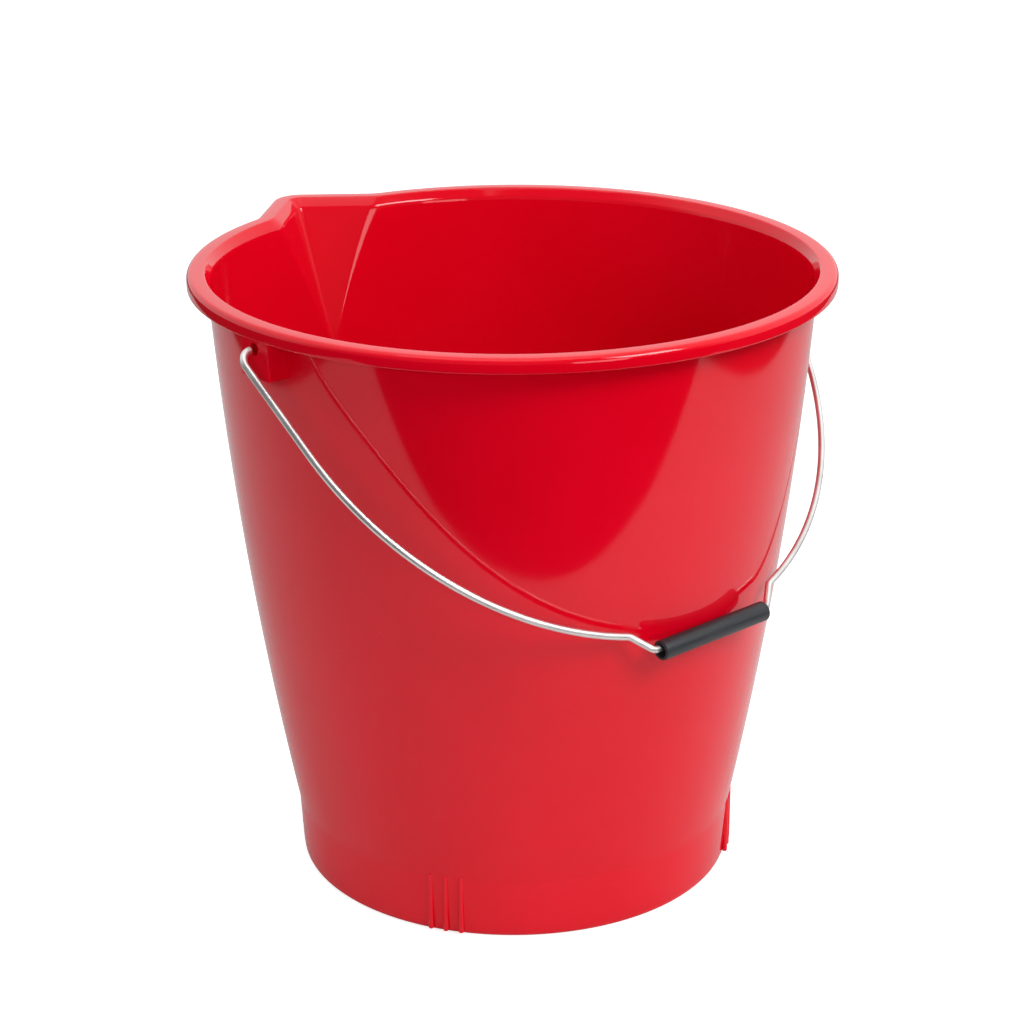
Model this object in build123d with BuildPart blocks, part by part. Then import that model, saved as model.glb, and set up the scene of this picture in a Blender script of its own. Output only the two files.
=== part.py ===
from build123d import *
from math import cos, radians, sin, sqrt, tan
import os

os.makedirs("parts", exist_ok=True)

# Wash bucket: a moulded pouring bucket, its wire bail and the tube grip on the bail.
# Origin on the floor at the centre of the foot, +Z up, pouring spout towards +Y.
# The bail turns about the X direction and is laid down against the wall on the -Y side.

# Shell: wall profile through foot, middle and neck
height = 316.0
wall = 2.0
foot_r = 112.4
foot_round = 3.0
band_r = 114.2
band_z = 32.0
middle_r = 136.9
middle_z = 173.0
neck_r = 150.4
neck_z = 314.0
flare_bulge = 1.2
lean_z = 311.5
lean_angle = 33.0
recess_r = 107.0
recess_z = 4.0
recess_taper = 8.0
floor_z = 6.2
floor_round = 5.0

# Turned-over rim: a plate with a skirt hanging from its outer edge
rim_r = 160.0
rim_drop = 7.0
rim_plate = 2.2
rim_round = 2.8
lip_round = 0.6
mouth_round = 1.2
rim_tip_round = 16.0
rim_root_round = 14.0

# Pouring spout: a V in plan, with a crease that slants down into the wall
spout_angle = 50.0
crease_r = 172.0
crease_slope = 0.381
crease_round = 4.0
root_round = 26.0
crease_end_round = 0.8
root_end_round = 1.2
spout_end_z = 244.0
spout_fade_z = 236.0
spout_inset = 0.3
spout_sink = 2.5
spout_base_y = 120.0
mouth_clearance = 2.0

# Ears: open-bottomed boxes under the rim, their outer faces rounded like the rim's skirt
ear_x = 160.3
ear_root_x = 140.0
ear_width = 21.5
ear_z = 291.5
ear_top_z = 312.5
ear_wall = 2.0
ear_round = 1.2
ear_draft = 1.0
notch_width = 4.8
notch_height = 2.2
pivot_z = 305.0
pivot_hole_r = 3.0

# Ribs on the foot band, in groups of three
rib_r = 1.4
rib_reach = 114.5
rib_z = 1.6
rib_height = 31.5
rib_step = 4.0
rib_groups = (30.0, 129.0, 210.0, 309.0)

# Bail wire, drawn in its own plane: x across, y down from the pivots to the grip
wire_r = 1.75
bail_swing = 44.8
bail_tip_x = 152.5
bail_corner_x = 169.9
bail_bend = 7.0
bail_arc_r = 163.3
bail_arc_y = 32.7
leg_angle = 8.45
crank_x = 48.0
crank_bend = 5.0
run_x = 38.6
run_y = 199.0

# Grip: a tube hanging on the straight run of the wire
grip_r = 4.9
grip_bore_r = 3.3
grip_length = 71.0
grip_play = 0.1
grip_round = 0.8


def neck_radius(z):
    """Outer radius of the wall between its middle and its neck."""
    share = (z - middle_z) / (neck_z - middle_z)
    bulge = 4 * flare_bulge * share * (1 - share)
    return middle_r + share * (neck_r - middle_r) + bulge


def sharp_apex(tip_y, tip_round):
    """Where the two sides of the V would meet if its tip weren't rounded."""
    return tip_y + tip_round * (1 / sin(radians(spout_angle)) - 1)


def spout_plan(z, ring_r, apex_y, tip_round, corner_round):
    """A disc with a V spout on its +Y side, its tip and both roots rounded."""
    spread = (apex_y - spout_base_y) * tan(radians(spout_angle))
    with BuildSketch(Plane.XY.offset(z)) as plan:
        Circle(ring_r)
        with BuildLine():
            Polyline((0, apex_y), (-spread, spout_base_y), (spread, spout_base_y), close=True)
        make_face()
        fillet(plan.vertices().sort_by(Axis.Y)[-1], tip_round)
        fillet(plan.vertices().sort_by(Axis.Y)[:2], corner_round)
    return plan.sketch


def spout_sections(top_z, grow):
    """Plans of the spout, from its faded end inside the wall up to the top, grown outwards."""
    sections = []
    for z, sink, crease, tip_round, corner_round in (
        (spout_fade_z, spout_sink, crease_end_round, crease_end_round, root_end_round),
        (spout_end_z, spout_inset, crease_end_round, crease_end_round, root_end_round),
        (top_z, spout_inset, crease_round, crease_round + grow, root_round - grow),
    ):
        ring_r = neck_radius(z) - wall + grow - sink
        crease_apex = sharp_apex(crease_r + crease_slope * (z - height), crease)
        apex_y = crease_apex + grow / sin(radians(spout_angle))
        sections.append(spout_plan(z, ring_r, apex_y, tip_round, corner_round))
    return sections


def neck_plan(z, grow):
    """Plan of the neck, which leans out to the rim, grown outwards. It starts just inside the wall."""
    share = (z - spout_end_z) / (height - spout_end_z)
    tip_round = crease_end_round + share * (crease_round - crease_end_round)
    corner_round = root_end_round + share * (root_round - root_end_round)
    lean = (z - lean_z) * tan(radians(lean_angle)) - spout_inset
    crease_apex = sharp_apex(crease_r + crease_slope * (z - height), tip_round)
    apex_y = crease_apex + (grow + lean) / sin(radians(spout_angle))
    ring_r = neck_radius(min(z, neck_z)) - wall + grow + lean
    return spout_plan(z, ring_r, apex_y, tip_round + grow + lean, corner_round - grow - lean)


# The body is one moulding: rim channel, ears, wall, spout and ribs, and the inside cut out last.
with BuildPart() as bucket_body:
    # Rim: plate with its outer skirt, the channel under it left open from below
    rim_z = height - rim_drop
    rim_tip_r = crease_r + (rim_r - neck_r + wall)
    rim_apex = sharp_apex(rim_tip_r, rim_tip_round)
    extrude(spout_plan(rim_z, rim_r, rim_apex, rim_tip_round, rim_root_round), amount=rim_drop)
    fillet(bucket_body.edges().group_by(Axis.Z)[-1], rim_round)
    fillet(bucket_body.edges().group_by(Axis.Z)[0], lip_round)
    channel_apex = rim_apex - wall / sin(radians(spout_angle))
    channel = spout_plan(
        rim_z, rim_r - wall, channel_apex, rim_tip_round - wall, rim_root_round + wall
    )
    extrude(channel, amount=rim_drop - rim_plate, mode=Mode.SUBTRACT)

    # Ears: boxes hanging from the rim, hollow from below. Each outer face has a round hole for the
    # wire and a notch in its lower edge.
    ear_height = ear_top_z - ear_z
    for side in (-1, 1):
        with BuildSketch(Plane.XY.offset(ear_z)) as ear:
            with Locations((side * (rim_r + ear_root_x) / 2, 0)):
                Rectangle(rim_r + 2 * wall - ear_root_x, ear_width)
            Circle(ear_x, mode=Mode.INTERSECT)
            fillet(ear.vertices().group_by(lambda corner: abs(corner.X))[-1], ear_round)
        extrude(amount=ear_height, taper=ear_draft)
    for side in (-1, 1):
        with BuildSketch(Plane.XY.offset(ear_z)):
            with Locations((side * (ear_x - ear_wall + ear_root_x) / 2, 0)):
                Rectangle(ear_x - ear_wall - ear_root_x, ear_width - 2 * ear_wall)
        extrude(amount=ear_height - ear_wall, mode=Mode.SUBTRACT)
    with BuildSketch(Plane.YZ):
        with Locations((0, pivot_z)):
            Circle(pivot_hole_r)
        with Locations((0, ear_z + notch_height / 2)):
            Rectangle(notch_width, notch_height)
    extrude(amount=ear_x + wall, both=True, mode=Mode.SUBTRACT)

    # Wall and foot, solid for now
    with BuildSketch(Plane.XZ):
        with BuildLine():
            Polyline((0, neck_z), (0, 0), (foot_r, 0), (band_r, band_z))
            ThreePointArc((band_r, band_z), (middle_r, middle_z), (neck_r, neck_z))
            Line((neck_r, neck_z), (0, neck_z))
        make_face()
    revolve(axis=Axis.Z)
    loft(spout_sections(neck_z, wall), ruled=True)
    loft([neck_plan(lean_z, wall), neck_plan(neck_z, wall)], ruled=True)
    fillet(bucket_body.edges().group_by(Axis.Z)[0], foot_round)

    # Ribs: upright half-round bars on the foot band, fading out where the wall flares past them
    for angle in rib_groups:
        with BuildSketch(Plane.XY.offset(rib_z)):
            with PolarLocations(rib_reach - rib_r, 3, angle - rib_step, 3 * rib_step):
                Circle(rib_r)
        extrude(amount=rib_height)

    # Inside of the bucket, then the recess that leaves a foot ring underneath
    mouth_z = height + mouth_clearance
    with BuildSketch(Plane.XZ) as inside:
        with BuildLine():
            Polyline((0, mouth_z), (0, floor_z), (foot_r - wall, floor_z), (band_r - wall, band_z))
            ThreePointArc((band_r - wall, band_z), (middle_r - wall, middle_z), (neck_r - wall, neck_z))
            Polyline((neck_r - wall, neck_z), (neck_r - wall, mouth_z), (0, mouth_z))
        make_face()
        fillet(inside.vertices().group_by(Axis.Y)[0].sort_by(Axis.X)[-1], floor_round)
    revolve(axis=Axis.Z, mode=Mode.SUBTRACT)
    loft(spout_sections(mouth_z, 0), ruled=True, mode=Mode.SUBTRACT)
    loft([neck_plan(lean_z, 0), neck_plan(mouth_z, 0)], ruled=True, mode=Mode.SUBTRACT)
    with BuildSketch():
        Circle(recess_r)
    extrude(amount=recess_z, taper=recess_taper, mode=Mode.SUBTRACT)
    mouth = bucket_body.faces().filter_by(Axis.Z).group_by(Axis.Z)[-1][0].inner_wires()[0]
    fillet(mouth.edges(), mouth_round)
bucket_body.part.label = "bucket_body"

# The wire is one bent length: half of it is drawn and mirrored, then a round section is swept along.
down = (0, -sin(radians(bail_swing)), -cos(radians(bail_swing)))
across = (0, cos(radians(bail_swing)), -sin(radians(bail_swing)))
bail_plane = Plane(origin=(0, 0, pivot_z), x_dir=(1, 0, 0), z_dir=across)
leg_end = (
    -bail_arc_r * cos(radians(leg_angle)),
    bail_arc_y + bail_arc_r * sin(radians(leg_angle)),
)
crank_y = bail_arc_y + sqrt(bail_arc_r**2 - crank_x**2)
with BuildPart() as bail_wire:
    with BuildLine(bail_plane) as centre_line:
        Polyline((-bail_tip_x, 0), (-bail_corner_x, 0), leg_end)
        RadiusArc(leg_end, (-crank_x, crank_y), bail_arc_r)
        Polyline((-crank_x, crank_y), (-run_x, run_y), (0, run_y))
        fillet(centre_line.vertices().sort_by(Axis.X)[0], bail_bend)
        fillet(centre_line.vertices().sort_by(Axis.X)[-3:-1], crank_bend)
        mirror(about=Plane.YZ)
    with BuildSketch(Plane(origin=centre_line.wire() @ 0, z_dir=centre_line.wire() % 0)):
        Circle(wire_r)
    sweep(path=centre_line.wire())
bail_wire.part.label = "bail_wire"

# The grip hangs on the wire, so its axis lies below the wire's by the slack in its bore.
grip_y = run_y + grip_bore_r - wire_r - grip_play
grip_axis = Plane(origin=bail_plane.from_local_coords((0, grip_y, 0)), x_dir=across, z_dir=(1, 0, 0))
with BuildPart() as grip:
    with BuildSketch(grip_axis):
        Circle(grip_r)
    extrude(amount=grip_length / 2, both=True)
    fillet(grip.edges(), grip_round)
    with BuildSketch(grip_axis):
        Circle(grip_bore_r)
    extrude(amount=grip_length / 2, both=True, mode=Mode.SUBTRACT)
grip.part.label = "grip"

export_step(bucket_body.part, "parts/bucket_body.step")
export_step(bail_wire.part, "parts/bail_wire.step")
export_step(grip.part, "parts/grip.step")
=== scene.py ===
from math import atan2, cos, degrees, hypot, pi, radians, sin, sqrt, tan

import bpy
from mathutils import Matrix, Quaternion, Vector


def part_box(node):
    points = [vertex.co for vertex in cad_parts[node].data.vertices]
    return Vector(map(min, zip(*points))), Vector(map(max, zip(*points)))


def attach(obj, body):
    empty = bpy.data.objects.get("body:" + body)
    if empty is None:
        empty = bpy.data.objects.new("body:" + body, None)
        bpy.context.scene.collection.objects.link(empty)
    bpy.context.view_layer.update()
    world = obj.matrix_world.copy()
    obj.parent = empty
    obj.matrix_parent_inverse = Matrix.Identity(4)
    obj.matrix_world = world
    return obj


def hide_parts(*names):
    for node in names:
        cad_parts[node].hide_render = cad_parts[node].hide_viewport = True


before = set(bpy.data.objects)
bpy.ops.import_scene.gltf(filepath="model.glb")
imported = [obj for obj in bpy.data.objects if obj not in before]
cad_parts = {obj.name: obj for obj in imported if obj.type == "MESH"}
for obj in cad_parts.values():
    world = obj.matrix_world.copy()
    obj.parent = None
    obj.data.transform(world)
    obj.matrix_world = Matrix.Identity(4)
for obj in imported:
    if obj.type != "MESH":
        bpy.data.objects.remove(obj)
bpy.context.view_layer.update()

bpy.ops.object.select_all(action="DESELECT")
mm = 0.001

# Bucket body: one moulding in glossy red polypropylene, 2 mm thick. The wall flares from a short
# upright foot band to a turned-over rim with an open channel under it, and a V-shaped pouring
# spout is pressed outwards at +Y. The shell is turned from its section, then the spout is pushed out.
body_low, body_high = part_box("bucket_body")
height = body_high.z
wall = 2.0 * mm
foot_r = 112.4 * mm
foot_round = 3.0 * mm
band_r = 114.2 * mm
band_z = 32.0 * mm
middle_r = 136.9 * mm
middle_z = 173.0 * mm
neck_r = 150.4 * mm
neck_z = height - 2.0 * mm
flare_z = 311.5 * mm
flare_tilt = radians(33.0)
recess_r = 107.0 * mm
recess_z = 4.0 * mm
recess_round = 0.6 * mm
ring_round = 0.5 * mm
floor_z = 6.2 * mm
floor_round = 5.0 * mm
rim_r = -body_low.y
rim_drop = 7.0 * mm
rim_plate = 2.2 * mm
rim_round = 2.8 * mm
lip_round = 0.6 * mm
channel_round = 1.0 * mm
mouth_round = 1.2 * mm


def circle_through(first, second, third):
    """Centre and radius of the circle through three points of the wall's section."""
    (ax, ay), (bx, by), (cx, cy) = first, second, third
    twice_area = 2 * (ax * (by - cy) + bx * (cy - ay) + cx * (ay - by))
    square_a, square_b, square_c = ax * ax + ay * ay, bx * bx + by * by, cx * cx + cy * cy
    x = (square_a * (by - cy) + square_b * (cy - ay) + square_c * (ay - by)) / twice_area
    y = (square_a * (cx - bx) + square_b * (ax - cx) + square_c * (bx - ax)) / twice_area
    return x, y, hypot(ax - x, ay - y)


flare_x, flare_y, flare_r = circle_through((band_r, band_z), (middle_r, middle_z), (neck_r, neck_z))
flare_side = 1 if flare_x < band_r else -1


def outer_r(z):
    """Outer radius of the wall at a height: straight foot band, then the long flare."""
    if z < band_z:
        return foot_r + (band_r - foot_r) * z / band_z
    return flare_x + flare_side * sqrt(flare_r**2 - (z - flare_y) ** 2)


def flare_at(z):
    """Outer radius of the neck, where the wall leans further out to meet the rim."""
    return outer_r(flare_z) + (z - flare_z) * tan(flare_tilt)


def corner(centre_r, centre_z, radius, start, end, steps=5):
    """Points of a rounded corner in the section, from one angle to another in degrees."""
    angles = [radians(start + (end - start) * step / steps) for step in range(steps + 1)]
    return [(centre_r + radius * cos(angle), centre_z + radius * sin(angle)) for angle in angles]


def levels(low, high, spacing):
    """Heights from low up to high, evenly spaced, both ends included."""
    steps = max(1, round((high - low) / spacing))
    return [low + (high - low) * step / steps for step in range(steps + 1)]


body_columns = 320
spout_foot_z = 232.0 * mm
rim_low = height - rim_drop
plate_low = height - rim_plate
wall_spacing = 8.0 * mm
spout_spacing = 2.0 * mm
neck_spacing = 0.7 * mm
mouth_spacing = 0.8 * mm
band_edge = 0.5 * mm
wall_levels = (
    levels(band_z, spout_foot_z, wall_spacing)[1:]
    + levels(spout_foot_z, flare_z, spout_spacing)[1:]
)
band_levels = levels(foot_round + 4.0 * mm, band_z - 3 * band_edge, wall_spacing)
mouth_z = height - mouth_round * (1 - sin(flare_tilt))

outline = [(0.0, recess_z), (recess_r * 0.5, recess_z)]
outline += corner(recess_r - 1.5 * mm, recess_z - recess_round, recess_round, 90, 0, 3)
outline += corner(recess_r + 0.2 * mm, ring_round, ring_round, 180, 270, 3)
outline += corner(foot_r - foot_round, foot_round, foot_round, 270, 360)
outline += [(outer_r(z), z) for z in band_levels + [band_z - band_edge, band_z + band_edge] + wall_levels]
outline += [(flare_at(z), z) for z in levels(flare_z, plate_low - 0.5 * mm, neck_spacing)[1:]]
outline += [(flare_at(plate_low) + 0.6 * mm, plate_low)]
outline += corner(rim_r - wall - channel_round, plate_low - channel_round, channel_round, 90, 0, 3)
outline += corner(rim_r - wall + lip_round, rim_low + lip_round, lip_round, 180, 270, 4)
outline += corner(rim_r - lip_round, rim_low + lip_round, lip_round, 270, 360, 4)
outline += corner(rim_r - rim_round, height - rim_round, rim_round, 0, 90, 8)
mouth_r = flare_at(mouth_z) - wall
mouth_centre_r = mouth_r + mouth_round * cos(flare_tilt)
outline += [((rim_r - rim_round + mouth_centre_r) / 2, height)]
outline += corner(mouth_centre_r, height - mouth_round, mouth_round, 90, 180 - degrees(flare_tilt), 6)
outline += [(flare_at(z) - wall, z) for z in reversed(levels(flare_z, mouth_z, mouth_spacing)[1:-1])]
outline += [(outer_r(z) - wall, z) for z in reversed(wall_levels)]
outline += [(outer_r(z) - wall, z) for z in (band_z + band_edge, band_z - band_edge)]
outline += [(outer_r(z) - wall, z) for z in reversed(band_levels[1:])]
outline += corner(foot_r - wall - floor_round, floor_z + floor_round, floor_round, 0, -90, 6)
outline += [(recess_r * 0.5, floor_z), (0.0, floor_z)]

bpy.ops.mesh.primitive_plane_add(size=wall)
body = bpy.context.object
body.name = "bucket_shell"
bpy.ops.object.mode_set(mode="EDIT")
bpy.ops.mesh.merge(type="CENTER")
bpy.ops.transform.translate(value=(outline[0][0], 0, outline[0][1]))
pen = outline[0]
for point in outline[1:]:
    step = (point[0] - pen[0], 0, point[1] - pen[1])
    bpy.ops.mesh.extrude_region_move(TRANSFORM_OT_translate={"value": step})
    pen = point
bpy.ops.mesh.select_all(action="SELECT")
bpy.ops.mesh.spin(steps=body_columns, angle=2 * pi, center=(0, 0, 0), axis=(0, 0, 1))
bpy.ops.mesh.select_all(action="SELECT")
bpy.ops.mesh.remove_doubles(threshold=0.02 * mm)
bpy.ops.mesh.normals_make_consistent(inside=False)
bpy.ops.object.mode_set(mode="OBJECT")

# The spout's plan is a V of 50 degrees each side, with a rounded crease and rounded roots. Its
# crease slants in as it goes down, until it runs out in the wall.
spout_angle = radians(50.0)
crease_r = 172.0 * mm
crease_slope = 0.381
spout_end_z = 244.0 * mm
crease_round = 4.0 * mm
crease_end_round = 0.8 * mm
root_round = 26.0 * mm
root_end_round = 4.0 * mm
root_turn = radians(26.0)
rim_blend = 3.0 * mm
least_round = 1.0 * mm
half_width = radians(40.0)
# Columns of the shell are drawn together towards the spout, by this share, to carry its creases.
crowding = 0.8


def v_plan(turn, apex, tip_round):
    """Distance from the axis to a V with a rounded tip, at an angle from the spout's middle."""
    centre = apex - tip_round / sin(spout_angle)
    touch = atan2(tip_round * cos(spout_angle), centre + tip_round * sin(spout_angle))
    if abs(turn) < touch:
        return centre * cos(turn) + sqrt(tip_round**2 - (centre * sin(turn)) ** 2)
    return apex * sin(spout_angle) / sin(spout_angle + abs(turn))


def spout_r(radius, z, turn):
    """Where a point of the round shell goes once the spout is pushed out."""
    out_on_rim = min(max((radius - flare_at(plate_low)) / rim_blend, 0.0), 1.0)
    plan_z = z + (height - z) * out_on_rim
    inner_r = outer_r(min(plan_z, neck_z)) - wall
    offset = radius - inner_r
    share = max(0.0, (plan_z - spout_end_z) / (height - spout_end_z))
    tip_round = crease_end_round + (crease_round - crease_end_round) * share
    corner_round = root_end_round + (root_round - root_end_round) * share
    tip = crease_r - crease_slope * (height - plan_z)
    apex = tip + tip_round * (1 / sin(spout_angle) - 1) + offset / sin(spout_angle)
    spout = v_plan(turn, apex, tip_round + offset)
    blend = tan(root_turn / 2) * tan(root_turn) * max(corner_round - offset, least_round)
    overlap = max(blend - abs(spout - radius), 0) / blend
    return max(spout, radius) + overlap**2 * blend / 4


for vertex in body.data.vertices:
    radius = hypot(vertex.co.x, vertex.co.y)
    if radius < wall:
        continue
    turn = atan2(vertex.co.x, vertex.co.y)
    turn -= crowding * sin(turn)
    if vertex.co.z > spout_foot_z and abs(turn) < half_width:
        radius = spout_r(radius, vertex.co.z, turn)
    vertex.co.x = radius * sin(turn)
    vertex.co.y = radius * cos(turn)

# Ears: two open-bottomed boxes moulded under the rim on the X axis. Each outer face is flush with
# the rim's skirt and has a round hole for the wire and a small notch in its lower edge.
ear_x = body_high.x
ear_inner_x = 148.4 * mm
ear_bite = 0.9 * mm
ear_width = 21.5 * mm
ear_low = 291.5 * mm
ear_high = 312.5 * mm
ear_wall = 2.0 * mm
ear_round = 1.2 * mm
ear_draft = 0.4 * mm
pivot_z = 305.0 * mm
pivot_hole_r = 3.0 * mm
cut_margin = 5.0 * mm
notch_width = 4.8 * mm
notch_height = 2.2 * mm


def edit_faces(piece, chosen):
    """Goes into edit mode on a piece with only the faces for which chosen is true selected."""
    bpy.context.view_layer.objects.active = piece
    bpy.ops.object.mode_set(mode="EDIT")
    bpy.ops.mesh.select_mode(type="FACE")
    bpy.ops.mesh.select_all(action="DESELECT")
    bpy.ops.object.mode_set(mode="OBJECT")
    for face in piece.data.polygons:
        face.select = chosen(face)
    bpy.ops.object.mode_set(mode="EDIT")


def boolean(piece, tool, operation):
    """Cuts a tool out of a piece or joins it on, and removes the tool."""
    bpy.context.view_layer.objects.active = piece
    modifier = piece.modifiers.new(operation.lower(), "BOOLEAN")
    modifier.object = tool
    modifier.operation = operation
    modifier.solver = "EXACT"
    bpy.ops.object.modifier_apply(modifier=modifier.name)
    bpy.data.objects.remove(tool)


def clear_selection():
    """Lets go of everything, so that the next step acts only on its own piece."""
    bpy.ops.object.select_all(action="DESELECT")


def cut_box(piece, low, high):
    """Cuts a box, given by its lowest and highest corners, out of a piece."""
    middle = [(a + b) / 2 for a, b in zip(low, high)]
    size = [b - a for a, b in zip(low, high)]
    bpy.ops.mesh.primitive_cube_add(size=1, location=middle, scale=size)
    boolean(piece, bpy.context.object, "DIFFERENCE")


additions = []
for side in (-1, 1):
    bpy.ops.mesh.primitive_cube_add(
        size=1,
        location=(side * (ear_x + ear_inner_x) / 2, 0, (ear_low + ear_high) / 2),
        scale=(ear_x - ear_inner_x, ear_width, ear_high - ear_low),
    )
    ear = bpy.context.object
    bpy.ops.object.transform_apply(location=True, rotation=True, scale=True)
    edit_faces(ear, lambda face: False)
    bpy.ops.mesh.select_mode(type="EDGE")
    bpy.ops.object.mode_set(mode="OBJECT")
    for edge in ear.data.edges:
        ends = [ear.data.vertices[index].co for index in edge.vertices]
        upright = abs(ends[0].z - ends[1].z) > ear_wall
        edge.select = upright and abs(ends[0].x) > ear_x - ear_wall
    bpy.ops.object.mode_set(mode="EDIT")
    bpy.ops.mesh.bevel(offset=ear_round, segments=4)
    edit_faces(ear, lambda face: face.normal.x * side > 0.99)
    bpy.ops.mesh.subdivide(number_cuts=7)
    bpy.ops.object.mode_set(mode="OBJECT")
    for vertex in ear.data.vertices:
        share = (vertex.co.z - ear_low) / (ear_high - ear_low)
        reach = abs(vertex.co.x)
        if reach > ear_x - 2 * ear_round:
            reach += sqrt((ear_x - ear_draft * share) ** 2 - vertex.co.y**2) - ear_x
        else:
            reach = outer_r(vertex.co.z) - ear_bite
        vertex.co.x = side * reach
    outside = side * (ear_x + cut_margin)
    inside = side * (ear_inner_x - cut_margin)
    face_inside = side * (ear_x - ear_wall)
    cut_box(
        ear,
        (min(inside, face_inside), -ear_width / 2 + ear_wall, ear_low - cut_margin),
        (max(inside, face_inside), ear_width / 2 - ear_wall, ear_high - ear_wall),
    )
    cut_box(
        ear,
        (min(face_inside, outside), -notch_width / 2, ear_low - cut_margin),
        (max(face_inside, outside), notch_width / 2, ear_low + notch_height),
    )
    bpy.ops.mesh.primitive_cylinder_add(
        vertices=40, radius=pivot_hole_r, depth=2 * cut_margin,
        location=(side * ear_x, 0, pivot_z), rotation=(0, pi / 2, 0),
    )
    boolean(ear, bpy.context.object, "DIFFERENCE")
    additions.append(ear)

# Ribs: upright half-round bars on the foot band, in four groups of three, which take the knocks
# when buckets are stacked. The wall flares past their tops.
rib_r = 1.4 * mm
rib_reach = 114.9 * mm
rib_low = 1.6 * mm
rib_length = 31.5 * mm
rib_step = 4.0
rib_groups = (30.0, 129.0, 210.0, 309.0)
rib_end_round = 0.9 * mm
for group in rib_groups:
    for place in (-1, 0, 1):
        angle = radians(group + place * rib_step)
        middle = (
            (rib_reach - rib_r) * cos(angle),
            (rib_reach - rib_r) * sin(angle),
            rib_low + rib_length / 2,
        )
        bpy.ops.mesh.primitive_cylinder_add(vertices=24, radius=rib_r, depth=rib_length, location=middle)
        rib = bpy.context.object
        bpy.ops.object.transform_apply(location=True, rotation=True, scale=True)
        edit_faces(rib, lambda face: abs(face.normal.z) > 0.9)
        bpy.ops.mesh.bevel(offset=rib_end_round, segments=4)
        bpy.ops.object.mode_set(mode="OBJECT")
        additions.append(rib)

clear_selection()
for piece in additions:
    piece.select_set(True)
bpy.context.view_layer.objects.active = additions[0]
bpy.ops.object.join()
boolean(body, additions[0], "UNION")
clear_selection()
body.select_set(True)
bpy.context.view_layer.objects.active = body
bpy.ops.object.shade_smooth_by_angle(angle=radians(33))


def node_group(name, inputs, outputs):
    """An empty shader node group with its named inputs and outputs, and its two end nodes."""
    group = bpy.data.node_groups.new(name, "ShaderNodeTree")
    for label, kind, value in inputs:
        socket = group.interface.new_socket(label, in_out="INPUT", socket_type=kind)
        socket.default_value = value
    for label, kind in outputs:
        group.interface.new_socket(label, in_out="OUTPUT", socket_type=kind)
    return group, group.nodes.new("NodeGroupInput"), group.nodes.new("NodeGroupOutput")


def join(tree, out_socket, in_socket):
    """Joins one node's output to another's input."""
    tree.links.new(out_socket, in_socket)


def noise(tree, vector, scale, detail):
    """A noise pattern on a vector, from 0 to 1."""
    texture = tree.nodes.new("ShaderNodeTexNoise")
    texture.inputs["Scale"].default_value = scale
    texture.inputs["Detail"].default_value = detail
    join(tree, vector, texture.inputs["Vector"])
    return texture.outputs["Fac"]


def fitted(tree, value, **limits):
    """A value fitted from one pair of limits to another, each 0 to 1 where it isn't given."""
    fit = tree.nodes.new("ShaderNodeMapRange")
    for limit, number in limits.items():
        fit.inputs[limit.replace("_", " ").title()].default_value = number
    join(tree, value, fit.inputs["Value"])
    return fit.outputs["Result"]


def worked_out(tree, operation, first, second):
    """Two values added, multiplied, or the larger of the two."""
    sum_node = tree.nodes.new("ShaderNodeMath")
    sum_node.operation = operation
    join(tree, first, sum_node.inputs[0])
    join(tree, second, sum_node.inputs[1])
    return sum_node.outputs["Value"]


# Scuffs: thin short scratches in two directions, broken up into patches, as handling leaves on
# anything that is picked up, stacked and set down.
scuffs, scuffs_in, scuffs_out = node_group(
    "scuffs",
    [("Scale", "NodeSocketFloat", 60.0), ("Spread", "NodeSocketFloat", 0.5)],
    [("Mask", "NodeSocketFloat")],
)
place = scuffs.nodes.new("ShaderNodeTexCoord").outputs["Object"]
scratches = []
for stretch, tilt in (((1.0, 9.0, 1.0), 0.5), ((8.0, 1.0, 2.0), -0.9)):
    drawn_out = scuffs.nodes.new("ShaderNodeMapping")
    drawn_out.inputs["Rotation"].default_value = (0.3, tilt, 0.8)
    drawn_out.inputs["Scale"].default_value = stretch
    join(scuffs, place, drawn_out.inputs["Vector"])
    streaks = noise(scuffs, drawn_out.outputs["Vector"], 60.0, 3.0)
    streaks.node.inputs["Roughness"].default_value = 0.75
    join(scuffs, scuffs_in.outputs["Scale"], streaks.node.inputs["Scale"])
    scratches.append(fitted(scuffs, streaks, from_min=0.62, from_max=0.78))
patches = fitted(scuffs, noise(scuffs, place, 14.0, 2.0), from_min=0.45, from_max=0.7)
both_ways = worked_out(scuffs, "MAXIMUM", scratches[0], scratches[1])
in_patches = worked_out(scuffs, "MULTIPLY", both_ways, patches)
mask = worked_out(scuffs, "MULTIPLY", in_patches, scuffs_in.outputs["Spread"])
join(scuffs, mask, scuffs_out.inputs["Mask"])


def wear(tree, scale, spread):
    """The scuffs at one material's own scale and spread."""
    group = tree.nodes.new("ShaderNodeGroup")
    group.node_tree = scuffs
    group.inputs["Scale"].default_value = scale
    group.inputs["Spread"].default_value = spread
    return group.outputs["Mask"]


def new_material(name):
    """A material, its node tree, its shader, and the place of each point on the piece."""
    material = bpy.data.materials.new(name)
    material.use_nodes = True
    tree = material.node_tree
    place = tree.nodes.new("ShaderNodeTexCoord").outputs["Object"]
    return material, tree, tree.nodes["Principled BSDF"], place


def tinted(tree, value, low, low_colour, high, high_colour):
    """Two shades of a colour, mixed by a value."""
    ramp = tree.nodes.new("ShaderNodeValToRGB")
    ramp.color_ramp.elements[0].position = low
    ramp.color_ramp.elements[0].color = (*low_colour, 1)
    ramp.color_ramp.elements[1].position = high
    ramp.color_ramp.elements[1].color = (*high_colour, 1)
    join(tree, value, ramp.inputs["Fac"])
    return ramp.outputs["Color"]


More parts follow.
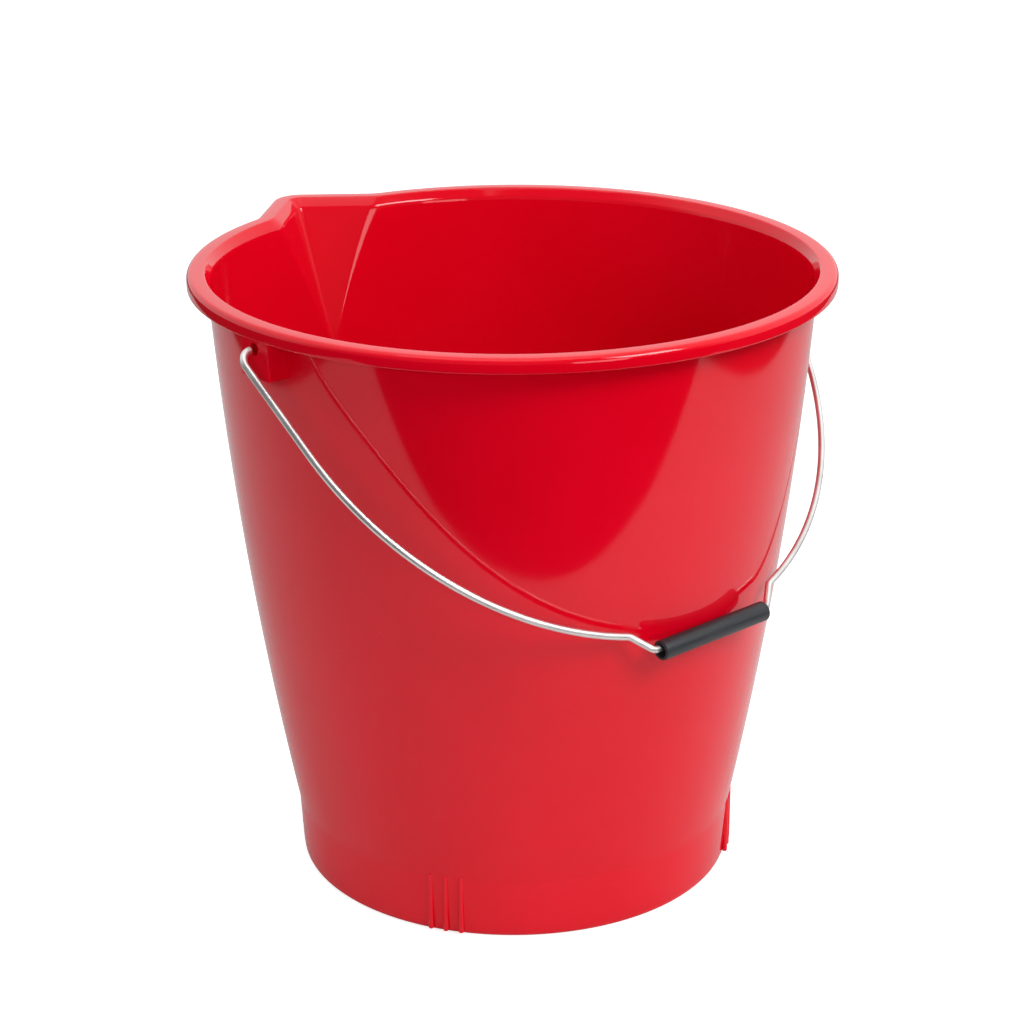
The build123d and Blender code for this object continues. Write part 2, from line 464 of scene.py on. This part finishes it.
def raised(tree, value, distance, strength):
    """Relief of a given height, fading with its strength."""
    bump = tree.nodes.new("ShaderNodeBump")
    bump.inputs["Strength"].default_value = strength
    bump.inputs["Distance"].default_value = distance
    join(tree, value, bump.inputs["Height"])
    return bump.outputs["Normal"]


# Red polypropylene: self-coloured, glossy from a polished mould. Long soft ripples of the cooling
# wall bend its reflections a little, and light scuffs dull the shine here and there.
red, tree, plastic, place = new_material("red_polypropylene")
plastic.inputs["IOR"].default_value = 1.42
colour = tinted(
    tree, noise(tree, place, 9.0, 3.0), 0.35, (0.69, 0.0005, 0.011), 0.65, (0.74, 0.001, 0.015)
)
gloss = fitted(tree, noise(tree, place, 25.0, 4.0), to_min=0.05, to_max=0.09)
ripples = raised(tree, noise(tree, place, 22.0, 1.0), 0.08 * mm, 1.0)
join(tree, colour, plastic.inputs["Base Color"])
join(tree, worked_out(tree, "ADD", gloss, wear(tree, 70.0, 0.35)), plastic.inputs["Roughness"])
join(tree, ripples, plastic.inputs["Normal"])
body.data.materials.append(red)

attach(body, "bucket")
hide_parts("bucket_body")

# Bail: one length of bright drawn steel wire. Its ends are bent in through the ears, its two legs
# run down to a wide arc, and a crank each side drops to the straight run that carries the grip.
wire_r = 1.75 * mm
bail_swing = radians(44.8)
bail_tip_x = 152.5 * mm
bail_corner_x = 169.9 * mm
bail_bend = 7.0 * mm
bail_arc_r = 163.3 * mm
bail_arc_low = 32.7 * mm
leg_angle = radians(8.45)
crank_x = 48.0 * mm
crank_bend = 5.0 * mm
run_x = 38.6 * mm
run_low = 199.0 * mm

clear_selection()
bpy.ops.mesh.primitive_circle_add(
    vertices=20, radius=wire_r, location=(-bail_tip_x, 0, 0), rotation=(0, pi / 2, 0)
)
bail = bpy.context.object
bail.name = "bail"
bpy.ops.object.transform_apply(location=True, rotation=True, scale=True)
bpy.ops.object.mode_set(mode="EDIT")
bpy.ops.mesh.select_all(action="SELECT")
pen_x, pen_z, heading = -bail_tip_x, 0.0, pi


def straight(length):
    """Carries the wire straight on."""
    global pen_x, pen_z
    step = (length * cos(heading), 0, length * sin(heading))
    bpy.ops.mesh.extrude_region_move(TRANSFORM_OT_translate={"value": step})
    pen_x, pen_z = pen_x + step[0], pen_z + step[2]


def bend(turn, radius, steps):
    """Bends the wire on, anticlockwise in the plane of the bail where the turn is positive."""
    global pen_x, pen_z, heading
    side = 1 if turn > 0 else -1
    centre_x = pen_x - side * radius * sin(heading)
    centre_z = pen_z + side * radius * cos(heading)
    bpy.ops.mesh.spin(steps=steps, angle=turn, center=(centre_x, 0, centre_z), axis=(0, 1, 0))
    heading += turn
    pen_x = centre_x + side * radius * sin(heading)
    pen_z = centre_z - side * radius * cos(heading)


leg_end_x = -bail_arc_r * cos(leg_angle)
leg_end_z = -bail_arc_low - bail_arc_r * sin(leg_angle)
shoulder_turn = pi / 2 + leg_angle
shoulder_setback = bail_bend * tan(shoulder_turn / 2)
leg_length = hypot(bail_corner_x + leg_end_x, leg_end_z)
crank_low = bail_arc_low + sqrt(bail_arc_r**2 - crank_x**2)
crank_angle = atan2(sqrt(bail_arc_r**2 - crank_x**2), crank_x)
crank_slope = atan2(run_low - crank_low, crank_x - run_x)
crank_turn = crank_slope - (pi / 2 - crank_angle)
crank_setback = crank_bend * tan(crank_turn / 2)
run_setback = crank_bend * tan(crank_slope / 2)
straight(bail_corner_x - bail_tip_x - shoulder_setback)
bend(shoulder_turn, bail_bend, 14)
straight(leg_length - shoulder_setback)
bend(crank_angle - leg_angle - crank_setback / bail_arc_r, bail_arc_r, 44)
bend(-crank_turn - crank_setback / bail_arc_r, crank_bend, 7)
straight(hypot(crank_x - run_x, run_low - crank_low) - crank_setback - run_setback)
bend(crank_slope, crank_bend, 9)
straight(-pen_x)
# The last ring is set square across the middle of the bail, where the other half meets it.
bpy.ops.transform.resize(value=(0, 1, 1), center_override=(0, 0, 0))
bpy.ops.object.mode_set(mode="OBJECT")
half = bail.modifiers.new("other_half", "MIRROR")
half.merge_threshold = 0.05 * mm
bpy.ops.object.modifier_apply(modifier=half.name)
bpy.ops.object.mode_set(mode="EDIT")
bpy.ops.mesh.select_all(action="SELECT")
bpy.ops.mesh.remove_doubles(threshold=0.02 * mm)
bpy.ops.mesh.fill_holes(sides=0)
bpy.ops.mesh.normals_make_consistent(inside=False)
edit_faces(bail, lambda face: len(face.vertices) > 4)
bpy.ops.mesh.bevel(offset=0.4 * mm, segments=3)
bpy.ops.object.mode_set(mode="OBJECT")
bail.rotation_euler = (-bail_swing, 0, 0)
bail.location = (0, 0, pivot_z)
clear_selection()
bail.select_set(True)
bpy.ops.object.transform_apply(location=True, rotation=True, scale=True)
bpy.ops.object.shade_smooth_by_angle(angle=radians(40))

# Bright steel wire: drawn and tumbled, so it is bright with a fine grain and a few duller patches.
steel, tree, metal, place = new_material("bright_steel_wire")
metal.inputs["Metallic"].default_value = 1.0
patina = noise(tree, place, 60.0, 4.0)
colour = tinted(tree, patina, 0.3, (0.70, 0.685, 0.67), 0.7, (0.86, 0.85, 0.84))
gloss = fitted(tree, patina, to_min=0.32, to_max=0.5)
grain = raised(tree, noise(tree, place, 900.0, 3.0), 0.03 * mm, 0.5)
join(tree, colour, metal.inputs["Base Color"])
join(tree, gloss, metal.inputs["Roughness"])
join(tree, grain, metal.inputs["Normal"])
bail.data.materials.append(steel)

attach(bail, "bail")
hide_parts("bail_wire")

# Grip: a cut length of extruded black plastic tube, slipped over the wire's straight run before
# the wire is bent. It hangs loosely on the wire, so the wire lies in the top of its bore.
grip_low, grip_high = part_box("grip")
grip_centre = (grip_low + grip_high) / 2
grip_r = 4.9 * mm
grip_bore_r = 3.3 * mm
grip_length = grip_high.x - grip_low.x
grip_round = 0.8 * mm
bore_round = 0.3 * mm

clear_selection()
bpy.ops.mesh.primitive_cylinder_add(
    vertices=56, radius=grip_r, depth=grip_length, location=grip_centre, rotation=(0, pi / 2, 0)
)
grip = bpy.context.object
grip.name = "grip_tube"
bpy.ops.object.transform_apply(location=True, rotation=True, scale=True)
edit_faces(grip, lambda face: abs(face.normal.x) > 0.9)
bpy.ops.mesh.inset(thickness=grip_r - grip_bore_r, depth=0)
bpy.ops.mesh.bridge_edge_loops()
bpy.ops.object.mode_set(mode="OBJECT")


def select_rings(piece, radius):
    """Selects the edges of a tube's two end rings that lie at a radius from the grip's axis."""
    bpy.context.view_layer.objects.active = piece
    edit_faces(piece, lambda face: False)
    bpy.ops.mesh.select_mode(type="EDGE")
    bpy.ops.object.mode_set(mode="OBJECT")
    for edge in piece.data.edges:
        ends = [piece.data.vertices[index].co - grip_centre for index in edge.vertices]
        around = abs(ends[0].x - ends[1].x) < 0.1 * mm
        near = all(abs(hypot(end.y, end.z) - radius) < 0.1 * mm for end in ends)
        edge.select = around and near
    bpy.ops.object.mode_set(mode="EDIT")


select_rings(grip, grip_r)
bpy.ops.mesh.bevel(offset=grip_round, segments=5)
select_rings(grip, grip_bore_r)
bpy.ops.mesh.bevel(offset=bore_round, segments=2)
bpy.ops.mesh.select_all(action="SELECT")
bpy.ops.mesh.normals_make_consistent(inside=False)
bpy.ops.object.mode_set(mode="OBJECT")
clear_selection()
grip.select_set(True)
bpy.context.view_layer.objects.active = grip
bpy.ops.object.shade_smooth_by_angle(angle=radians(35))

# Black grip plastic: satin, blue-black, with faint lengthwise lines from the extruder's die.
black, tree, plastic, place = new_material("black_grip_plastic")
along = tree.nodes.new("ShaderNodeMapping")
along.inputs["Location"].default_value = (0, -grip_centre.y, -grip_centre.z)
along.inputs["Scale"].default_value = (0.04, 1, 1)
join(tree, place, along.inputs["Vector"])
die_lines = noise(tree, along.outputs["Vector"], 1400.0, 3.0)
colour = tinted(tree, die_lines, 0.35, (0.011, 0.013, 0.016), 0.7, (0.022, 0.026, 0.031))
gloss = fitted(tree, die_lines, to_min=0.38, to_max=0.5)
join(tree, colour, plastic.inputs["Base Color"])
join(tree, worked_out(tree, "ADD", gloss, wear(tree, 260.0, 0.3)), plastic.inputs["Roughness"])
join(tree, raised(tree, die_lines, 0.05 * mm, 0.6), plastic.inputs["Normal"])
grip.data.materials.append(black)

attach(grip, "grip_tube")
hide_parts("grip")

# Camera: low on the front left, looking down into the bucket.
view_turn = radians(-42.3)
view_tilt = radians(22.14)
view_roll = radians(-0.24)
view_distance = 1.3747
view_target = Vector((0, 0, 0.150))
back = Vector((sin(view_turn) * cos(view_tilt), -cos(view_turn) * cos(view_tilt), sin(view_tilt)))
lens = bpy.data.cameras.new("camera")
camera = bpy.data.objects.new("camera", lens)
bpy.context.scene.collection.objects.link(camera)
camera.location = view_target + back * view_distance
camera_turn = back.to_track_quat("Z", "Y") @ Quaternion((0, 0, 1), view_roll)
camera.rotation_euler = camera_turn.to_euler()
lens.sensor_width = 36
lens.lens = 93.6
lens.shift_x = -0.0017
lens.shift_y = 0.0602
lens.clip_start = 0.01
bpy.context.scene.camera = camera

# Floor: a white table. Its front edge runs a little askew, close in front of the bucket, so that the
# wall shows the table below and the darker room beyond it.
floor_points = ((-0.76, 4.0), (0.78, 4.0), (0.78, -0.307), (-0.76, -0.558))
clear_selection()
bpy.ops.mesh.primitive_plane_add(size=1)
floor = bpy.context.object
floor.name = "floor"
floor.data.clear_geometry()
corners = [(x, y, 0) for x, y in floor_points]
floor.data.from_pydata(corners, [], [tuple(reversed(range(len(corners))))])
floor.rotation_euler = (0, 0, view_turn)
bpy.ops.object.transform_apply(location=True, rotation=True, scale=True)
paint, tree, surface, place = new_material("white_table")
surface.inputs["Base Color"].default_value = (0.66, 0.66, 0.66, 1)
surface.inputs["Roughness"].default_value = 0.9
surface.inputs["Emission Color"].default_value = (1, 1, 1, 1)
path = tree.nodes.new("ShaderNodeLightPath")
lift = fitted(tree, path.outputs["Is Camera Ray"], to_max=0.75)
join(tree, lift, surface.inputs["Emission Strength"])
floor.data.materials.append(paint)

# Light: a white studio behind, above and beside the table, and a darker room in front of it. A
# softbox lights the right, a strip light runs along the spout's creases, and a fill lifts the front.
world = bpy.data.worlds.new("studio")
bpy.context.scene.world = world
world.use_nodes = True
tree = world.node_tree
sky = tree.nodes["Background"]
sky.inputs["Color"].default_value = (1, 1, 1, 1)
place = tree.nodes.new("ShaderNodeTexCoord")
front = tree.nodes.new("ShaderNodeVectorMath")
front.operation = "DOT_PRODUCT"
front.inputs[1].default_value = (sin(view_turn), -cos(view_turn), 0)
join(tree, place.outputs["Generated"], front.inputs[0])
side_light = fitted(tree, front.outputs["Value"], from_max=0.5, to_min=1.0, to_max=0.15)
split = tree.nodes.new("ShaderNodeSeparateXYZ")
join(tree, place.outputs["Generated"], split.inputs["Vector"])
horizon = fitted(tree, split.outputs["Z"], from_min=-0.1, from_max=0.02, to_min=0.04)
for edge in (side_light, horizon):
    edge.node.interpolation_type = "SMOOTHSTEP"
light = worked_out(tree, "MULTIPLY", side_light, horizon)
path = tree.nodes.new("ShaderNodeLightPath")
seen = tree.nodes.new("ShaderNodeMix")
seen.data_type = "FLOAT"
seen.inputs["B"].default_value = 1.1
join(tree, path.outputs["Is Camera Ray"], seen.inputs["Factor"])
join(tree, light, seen.inputs["A"])
join(tree, seen.outputs["Result"], sky.inputs["Strength"])


def softbox(name, azimuth, elevation, distance, width, tall, power):
    """A soft flat light, aimed at the bucket from an azimuth and elevation in degrees."""
    turn, tilt = radians(azimuth) + view_turn, radians(elevation)
    way = Vector((sin(turn) * cos(tilt), -cos(turn) * cos(tilt), sin(tilt)))
    lamp = bpy.data.lights.new(name, "AREA")
    lamp.energy = power
    lamp.shape = "RECTANGLE"
    lamp.size = width
    lamp.size_y = tall
    holder = bpy.data.objects.new(name, lamp)
    bpy.context.scene.collection.objects.link(holder)
    holder.location = view_target + way * distance
    holder.rotation_euler = way.to_track_quat("Z", "Y").to_euler()
    return holder


softbox("key", 50, 42, 1.5, 0.5, 0.5, 12)
softbox("top", -20, 80, 1.8, 1.2, 1.2, 4)
softbox("strip", 28, 10, 1.6, 0.5, 0.6, 3.5)
fill = softbox("fill", -12, 16, 1.6, 1.0, 1.0, 6)
fill.visible_glossy = False

bpy.context.scene.view_settings.view_transform = "Standard"
